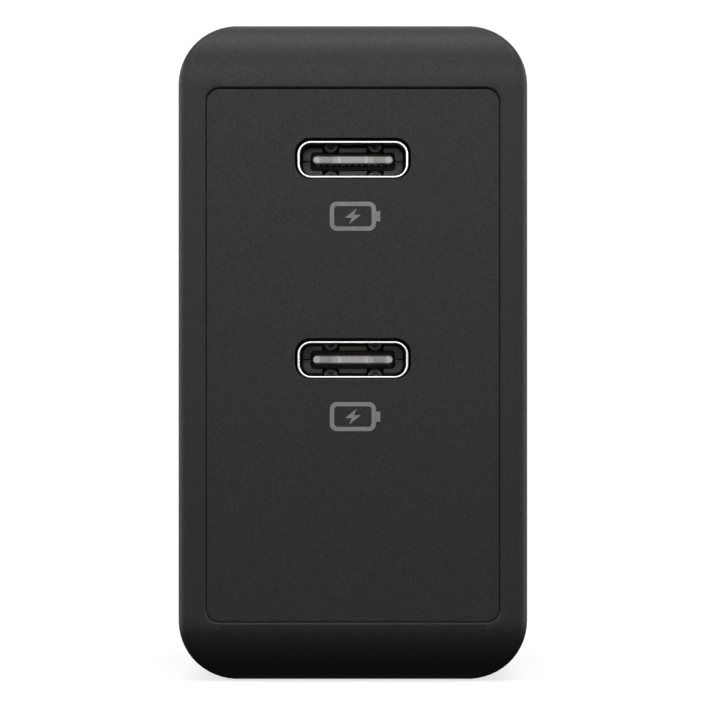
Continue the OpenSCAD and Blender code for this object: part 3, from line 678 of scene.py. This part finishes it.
TIP_R = 0.26 * MM
TIP_EDGE_R = 0.1 * MM
TIP_MARK_X = 1.62 * MM
TIP_MARK = 0.06 * MM


def make_port_tip(port):
    """Rounded cap on the tongue's front edge, with two fine mould lines."""
    node = "port_tip_" + port
    low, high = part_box(node)
    z = (low.z + high.z) / 2
    loops = [flat_loop(rounded_outline(high.x - low.x, high.z - low.z, TIP_R, z=z), high.y)]
    for step in range(LIP_STEPS + 1):
        angle = math.radians(90 * step / LIP_STEPS)
        inset = TIP_EDGE_R * (1 - math.cos(angle))
        spots = rounded_outline(high.x - low.x - 2 * inset, high.z - low.z - 2 * inset, TIP_R - inset, z=z)
        loops.append(flat_loop(spots, low.y + TIP_EDGE_R * (1 - math.sin(angle))))
    tip = mesh_object(node, solid(loops))
    for x in (-TIP_MARK_X, TIP_MARK_X):
        combine(tip, "DIFFERENCE",
                block((x - TIP_MARK / 2, low.y - TIP_MARK, low.z - TIP_MARK),
                      (x + TIP_MARK / 2, low.y + TIP_MARK, high.z + TIP_MARK)))
    stand_for(smooth(tip), node)


# ---------- materials ----------

# most of a noise's values lie between these
NOISE_RANGE = (0.3, 0.7)
# how much moulded plastic's roughness varies over its grain
GRAIN_ROUGH = 0.08
# how far a metal's streaks darken it, and how they change its roughness
STREAK_SHADE = 0.96
STREAK_ROUGH = (0.9, 1.1)
# a coating's slow changes: how many in a metre, how dark and pale, and how high
CLOUD_SCALE = 600
CLOUD_SHADES = (0.85, 1.1)
CLOUD_HEIGHT = 0.02 * MM
NEAR_BLACK = (0.010, 0.010, 0.0102)


def shader(name, colour, rough, **sockets):
    """A new material with constant values on its own sockets."""
    material = bpy.data.materials.new(name)
    material.use_nodes = True
    surface = material.node_tree.nodes["Principled BSDF"]
    surface.inputs["Base Color"].default_value = (*colour, 1)
    surface.inputs["Roughness"].default_value = rough
    for socket, value in sockets.items():
        surface.inputs[socket.replace("_", " ").title().replace("Ior", "IOR")].default_value = value
    return material


def noise(material, scale, stretch=(1, 1, 1), **sockets):
    """The value of a noise in the piece's own coordinates. Scale counts its features in a metre."""
    tree = material.node_tree
    place = tree.nodes.new("ShaderNodeTexCoord")
    mapping = tree.nodes.new("ShaderNodeMapping")
    mapping.inputs["Scale"].default_value = stretch
    texture = tree.nodes.new("ShaderNodeTexNoise")
    texture.inputs["Scale"].default_value = scale
    for socket, value in sockets.items():
        texture.inputs[socket.title()].default_value = value
    tree.links.new(place.outputs["Object"], mapping.inputs["Vector"])
    tree.links.new(mapping.outputs["Vector"], texture.inputs["Vector"])
    return texture.outputs["Fac"]


def grey(level):
    return (level, level, level)


def spread_over(material, value, low, high, socket):
    """Maps a noise's middle range to a socket's values between two colours, or greys for a number."""
    tree = material.node_tree
    ramp = tree.nodes.new("ShaderNodeValToRGB")
    first, last = ramp.color_ramp.elements
    first.position, last.position = NOISE_RANGE
    first.color, last.color = (*low, 1), (*high, 1)
    tree.links.new(value, ramp.inputs["Fac"])
    tree.links.new(ramp.outputs["Color"], tree.nodes["Principled BSDF"].inputs[socket])


def painted_light_by_place(material, axis, stops, mirrored=False):
    """Painted light and shade: grey base colours that change along an axis, from (place, level) stops in
    rising order.

    Mirrored stops are places on both sides of the axis's zero.
    """
    tree = material.node_tree
    place = tree.nodes.new("ShaderNodeTexCoord")
    split = tree.nodes.new("ShaderNodeSeparateXYZ")
    span = tree.nodes.new("ShaderNodeMapRange")
    ramp = tree.nodes.new("ShaderNodeValToRGB")
    tree.links.new(place.outputs["Object"], split.inputs["Vector"])
    along = split.outputs[axis]
    if mirrored:
        size = tree.nodes.new("ShaderNodeMath")
        size.operation = "ABSOLUTE"
        tree.links.new(along, size.inputs[0])
        along = size.outputs[0]
    first, last = stops[0][0], stops[-1][0]
    span.inputs["From Min"].default_value = first
    span.inputs["From Max"].default_value = last
    elements = ramp.color_ramp.elements
    elements[0].color = (*grey(stops[0][1]), 1)
    elements[1].color = (*grey(stops[-1][1]), 1)
    for where, level in stops[1:-1]:
        elements.new((where - first) / (last - first)).color = (*grey(level), 1)
    tree.links.new(along, span.inputs["Value"])
    tree.links.new(span.outputs["Result"], ramp.inputs["Fac"])
    tree.links.new(ramp.outputs["Color"], tree.nodes["Principled BSDF"].inputs["Base Color"])
    return material


def relief(material, value, height):
    """Bumps of a height in metres."""
    tree = material.node_tree
    bump = tree.nodes.new("ShaderNodeBump")
    bump.inputs["Distance"].default_value = height
    tree.links.new(value, bump.inputs["Height"])
    tree.links.new(bump.outputs["Normal"], tree.nodes["Principled BSDF"].inputs["Normal"])


def shade(colour, factor):
    return tuple(channel * factor for channel in colour)


def moulded_plastic(name, colour, rough, grain=5000, height=0.02 * MM, sheen=0.5, mottle=0.25):
    """Moulded plastic with the fine grain of a spark-eroded mould.

    Sheen is the strength of its reflections, and mottle how much its colour varies over the grain.
    """
    material = shader(name, colour, rough, specular_ior_level=sheen)
    speckle = noise(material, grain, detail=3.0, roughness=0.6)
    spread_over(material, speckle, shade(colour, 1 - mottle), shade(colour, 1 + mottle), "Base Color")
    spread_over(material, speckle, grey(rough + GRAIN_ROUGH), grey(rough - GRAIN_ROUGH), "Roughness")
    relief(material, speckle, height)
    return material


def metal(name, colour, rough, stretch=(1, 1, 1), scale=3000):
    """Metal with faint drawn or rolled streaks."""
    material = shader(name, colour, rough, metallic=1.0)
    streak = noise(material, scale, stretch, detail=2.0)
    low, high = STREAK_ROUGH
    spread_over(material, streak, shade(colour, STREAK_SHADE), colour, "Base Color")
    spread_over(material, streak, grey(rough * low), grey(rough * high), "Roughness")
    return material


def glossy_coat(name, colour, rough):
    """Lacquer, film or dip coating with slow colour changes."""
    material = shader(name, colour, rough)
    dark, pale = CLOUD_SHADES
    cloud = noise(material, CLOUD_SCALE, detail=2.0)
    spread_over(material, cloud, shade(colour, dark), shade(colour, pale), "Base Color")
    relief(material, cloud, CLOUD_HEIGHT)
    return material


def painted_light_by_depth(material, mouth_y, stops):
    """Painted light and shade: grey base colours from (millimetres behind mouth_y, level) stops in rising
    order.
    """
    return painted_light_by_place(material, "Y", [(mouth_y + depth * MM, level) for depth, level in stops])


def nickel_with_painted_shade(name):
    """Bright nickel on the lip, darkened deeper into the port by painted shade."""
    nickel = metal(name, (0.93, 0.93, 0.94), 0.25, (1, 0.1, 1))
    stops = ((0, 0.95), (0.06, 0.95), (0.2, 0.12), (0.8, 0.03))
    return painted_light_by_depth(nickel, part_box("port_shell_upper")[0].y, stops)


def insert_with_painted_light(name):
    """Black nylon with painted light: pale grey on the frame that faces the port's mouth, black in front of
    it and behind it.
    """
    nylon = moulded_plastic(name, (0.05, 0.05, 0.052), 0.5, 6000, 0.005 * MM)
    stops = ((-0.3, 0.012), (-0.1, 0.28), (0.05, 0.28), (0.15, 0.012))
    return painted_light_by_depth(nylon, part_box("port_insulator_upper")[0].y, stops)


# millimetres from the middle of the tongue's front edge, and level; the two pale bands are painted
# highlights
TIP_GREYS_AND_PAINTED_HIGHLIGHTS = ((0, 0.39), (0.9, 0.39), (1, 0.52), (1.12, 0.52), (1.22, 0.38), (1.58, 0.38),
             (1.66, 0.28), (2.5, 0.3), (2.75, 0.5), (3.1, 0.5))


def tongue_tip_with_painted_highlights(name):
    """Grey plastic with painted highlights as pale bands about 1 mm from the middle and from 2.75 mm to the
    ends, and darker from 1.66 to 2.5 mm.
    """
    plastic = moulded_plastic(name, (0.40, 0.39, 0.41), 0.4, 5000, 0.004 * MM)
    return painted_light_by_place(plastic, "X", [(place * MM, level) for place, level in TIP_GREYS_AND_PAINTED_HIGHLIGHTS], mirrored=True)


FINISHES = {
    "housing_plastic": lambda n: moulded_plastic(n, NEAR_BLACK, 0.5, sheen=0.35, mottle=0.45),
    "panel_plastic": lambda n: moulded_plastic(n, NEAR_BLACK, 0.5, sheen=0.35, mottle=0.45),
    "symbol_ink": lambda n: moulded_plastic(n, grey(0.19), 0.6, 4000, 0.003 * MM, mottle=0.12),
    "port_steel": nickel_with_painted_shade,
    "moulded_black": insert_with_painted_light,
    "tip_plastic": tongue_tip_with_painted_highlights,
    # painted shade: this steel gets a dark base colour for the shade deep in the port where the springs sit
    "dark_steel": lambda n: metal(n, (0.12, 0.12, 0.125), 0.45),
    "contact_gold": lambda n: metal(n, (0.83, 0.64, 0.30), 0.25),
    "board_green": lambda n: glossy_coat(n, (0.02, 0.12, 0.05), 0.35),
    "chip_black": lambda n: moulded_plastic(n, (0.025, 0.025, 0.027), 0.6),
    "inductor_grey": lambda n: moulded_plastic(n, (0.12, 0.12, 0.125), 0.7, 4000),
    "capacitor_can": lambda n: metal(n, (0.78, 0.78, 0.80), 0.3, (0.1, 1, 1)),
    "capacitor_sleeve": lambda n: glossy_coat(n, (0.03, 0.03, 0.05), 0.3),
    "ferrite": lambda n: moulded_plastic(n, (0.06, 0.06, 0.065), 0.6, 3000),
    "winding_tape": lambda n: glossy_coat(n, (0.62, 0.45, 0.05), 0.3),
    "choke_ferrite": lambda n: moulded_plastic(n, (0.05, 0.10, 0.07), 0.5, 2500),
    "copper_wire": lambda n: metal(n, (0.72, 0.33, 0.15), 0.3),
    "film_yellow": lambda n: glossy_coat(n, (0.60, 0.50, 0.08), 0.35),
    "ceramic_blue": lambda n: glossy_coat(n, (0.04, 0.16, 0.42), 0.3),
    "thermistor_coat": lambda n: glossy_coat(n, (0.03, 0.06, 0.04), 0.45),
    "fuse_ceramic": lambda n: glossy_coat(n, (0.70, 0.69, 0.64), 0.4),
    "heat_plate": lambda n: metal(n, (0.70, 0.70, 0.72), 0.35, (1, 1, 0.05)),
    "pad_grey": lambda n: moulded_plastic(n, (0.36, 0.38, 0.43), 0.7, 2500),
    "sheet_white": lambda n: glossy_coat(n, (0.75, 0.75, 0.70), 0.5),
    "carrier_plastic": lambda n: moulded_plastic(n, (0.02, 0.02, 0.0203), 0.5, 6000),
    "blade_metal": lambda n: metal(n, (0.86, 0.85, 0.82), 0.4, (1, 1, 0.04), 2000),
    "retainer_plastic": lambda n: moulded_plastic(n, grey(0.03), 0.55),
    "screw_steel": lambda n: metal(n, (0.65, 0.65, 0.67), 0.3),
    "spring_steel": lambda n: metal(n, (0.70, 0.70, 0.71), 0.25, (1, 1, 0.1)),
    "spring_bronze": lambda n: metal(n, (0.76, 0.48, 0.28), 0.3, (1, 1, 0.1)),
    "wire_insulation_brown": lambda n: glossy_coat(n, (0.16, 0.07, 0.03), 0.45),
    "wire_insulation_blue": lambda n: glossy_coat(n, (0.03, 0.10, 0.35), 0.45),
}


def finish_of(slot):
    """The material of a slot, made once."""
    return bpy.data.materials.get("finish_" + slot) or FINISHES[slot]("finish_" + slot)


# ---------- studio ----------

CAMERA_DISTANCE = 400 * MM
CAMERA_X = -0.03 * MM
CAMERA_LENS = 260.9
FLOOR_R = 3
FLOOR_DROP = 0.02 * MM
# the floor's glow and grey near the charger and far from it, and where they change
FLOOR_GLOW = (0.68, 1.05)
FLOOR_GREY = (0.42, 0.0)
FLOOR_FADE = (35 * MM, 110 * MM)
# the world's brightness as it lights the charger, and as the camera sees it
WORLD_LIGHT = 0.04
WORLD_SEEN = 1.05


def make_camera():
    data = bpy.data.cameras.new("camera")
    data.sensor_width = 36
    data.lens = CAMERA_LENS
    camera = bpy.data.objects.new("camera", data)
    camera.location = (CAMERA_X, front_y - CAMERA_DISTANCE, mid_z)
    camera.rotation_euler = (math.radians(90), 0, 0)
    bpy.context.scene.collection.objects.link(camera)
    bpy.context.scene.camera = camera


def softbox(name, place, width, height, radiance):
    """A rectangular light that faces the middle of the charger and isn't seen itself."""
    data = bpy.data.lights.new(name, "AREA")
    data.shape = "RECTANGLE"
    data.size, data.size_y = width, height
    data.energy = radiance * math.pi * width * height
    light = bpy.data.objects.new(name, data)
    light.location = place
    aim = Vector((0, 0, mid_z)) - light.location
    light.rotation_euler = aim.to_track_quat("-Z", "Y").to_euler()
    light.visible_camera = False
    bpy.context.scene.collection.objects.link(light)


def make_floor():
    """A wide white floor that takes a soft shadow near the charger and doesn't light it from below."""
    bm = bmesh.new()
    bmesh.ops.create_circle(bm, cap_ends=True, segments=64, radius=FLOOR_R)
    floor = mesh_object("floor", bm)
    floor.location.z = shell_low.z - FLOOR_DROP
    material = shader("floor", grey(FLOOR_GREY[1]), 0.9, specular_ior_level=0.0)
    tree = material.node_tree
    surface = tree.nodes["Principled BSDF"]
    surface.inputs["Emission Color"].default_value = (1, 1, 1, 1)
    place = tree.nodes.new("ShaderNodeTexCoord")
    away = tree.nodes.new("ShaderNodeVectorMath")
    away.operation = "LENGTH"
    tree.links.new(place.outputs["Object"], away.inputs[0])
    for socket, levels in (("Emission Strength", FLOOR_GLOW), ("Base Color", FLOOR_GREY)):
        fade = tree.nodes.new("ShaderNodeMapRange")
        fade.interpolation_type = "SMOOTHSTEP"
        for name, value in zip(("From Min", "From Max", "To Min", "To Max"), FLOOR_FADE + levels):
            fade.inputs[name].default_value = value
        tree.links.new(away.outputs["Value"], fade.inputs["Value"])
        tree.links.new(fade.outputs["Result"], surface.inputs[socket])
    floor.data.materials.append(material)
    floor.visible_diffuse = False
    floor.visible_glossy = False


def make_world():
    """White behind everything for the camera, and dim for the charger itself."""
    world = bpy.data.worlds.new("studio")
    world.use_nodes = True
    tree = world.node_tree
    tree.nodes.clear()
    output = tree.nodes.new("ShaderNodeOutputWorld")
    mix = tree.nodes.new("ShaderNodeMixShader")
    path = tree.nodes.new("ShaderNodeLightPath")
    for index, level in ((1, WORLD_LIGHT), (2, WORLD_SEEN)):
        background = tree.nodes.new("ShaderNodeBackground")
        background.inputs["Strength"].default_value = level
        background.inputs["Color"].default_value = (1, 1, 1, 1)
        tree.links.new(background.outputs["Background"], mix.inputs[index])
    tree.links.new(path.outputs["Is Camera Ray"], mix.inputs["Fac"])
    tree.links.new(mix.outputs["Shader"], output.inputs["Surface"])
    bpy.context.scene.world = world


# place, width and height in metres, and radiance; a light beside the charger stands on both sides
SOFTBOXES = {
    "near_front": ((0, -0.16, 0.11), 0.30, 0.12, 2.0),
    "front": ((0, -0.90, 0.12), 1.4, 0.4, 0.88),
    "top_front": ((0, -0.15, 0.45), 0.6, 0.3, 1.1),
    "top": ((0, 0.05, 0.50), 0.6, 0.25, 2.7),
    "top_back": ((0, 0.28, 0.45), 0.6, 0.3, 0.2),
    "side_front": ((0.45, -0.35, 0.12), 0.3, 0.4, 1.05),
    "sides": ((0.50, 0, 0.12), 0.35, 0.4, 3.0),
    "side_back": ((0.40, 0.35, 0.12), 0.3, 0.4, 1.5),
    "rear": ((0, 0.70, 0.30), 0.9, 0.5, 1.0),
}


def make_studio():
    make_camera()
    make_world()
    make_floor()
    for name, (place, width, height, radiance) in SOFTBOXES.items():
        sides = (-1, 1) if place[0] else (1,)
        for side in sides:
            softbox(name, (side * place[0], place[1], place[2]), width, height, radiance)
    bpy.context.scene.view_settings.view_transform = "Standard"


# ---------- everything ----------

make_studio()
make_housing()
make_front_panel()
make_rear_cover()
for side in ("upper", "lower"):
    make_port_shell(side)
    make_port_tip(side)
for name, edge in SOFT_EDGES.items():
    softened(name, edge)

# the printed marks and the ports' contacts are shown as the CAD draws them
for name, node in NODES.items():
    if not node.hide_render:
        node.data.materials.clear()
        node.data.materials.append(finish_of(SLOTS[name]))
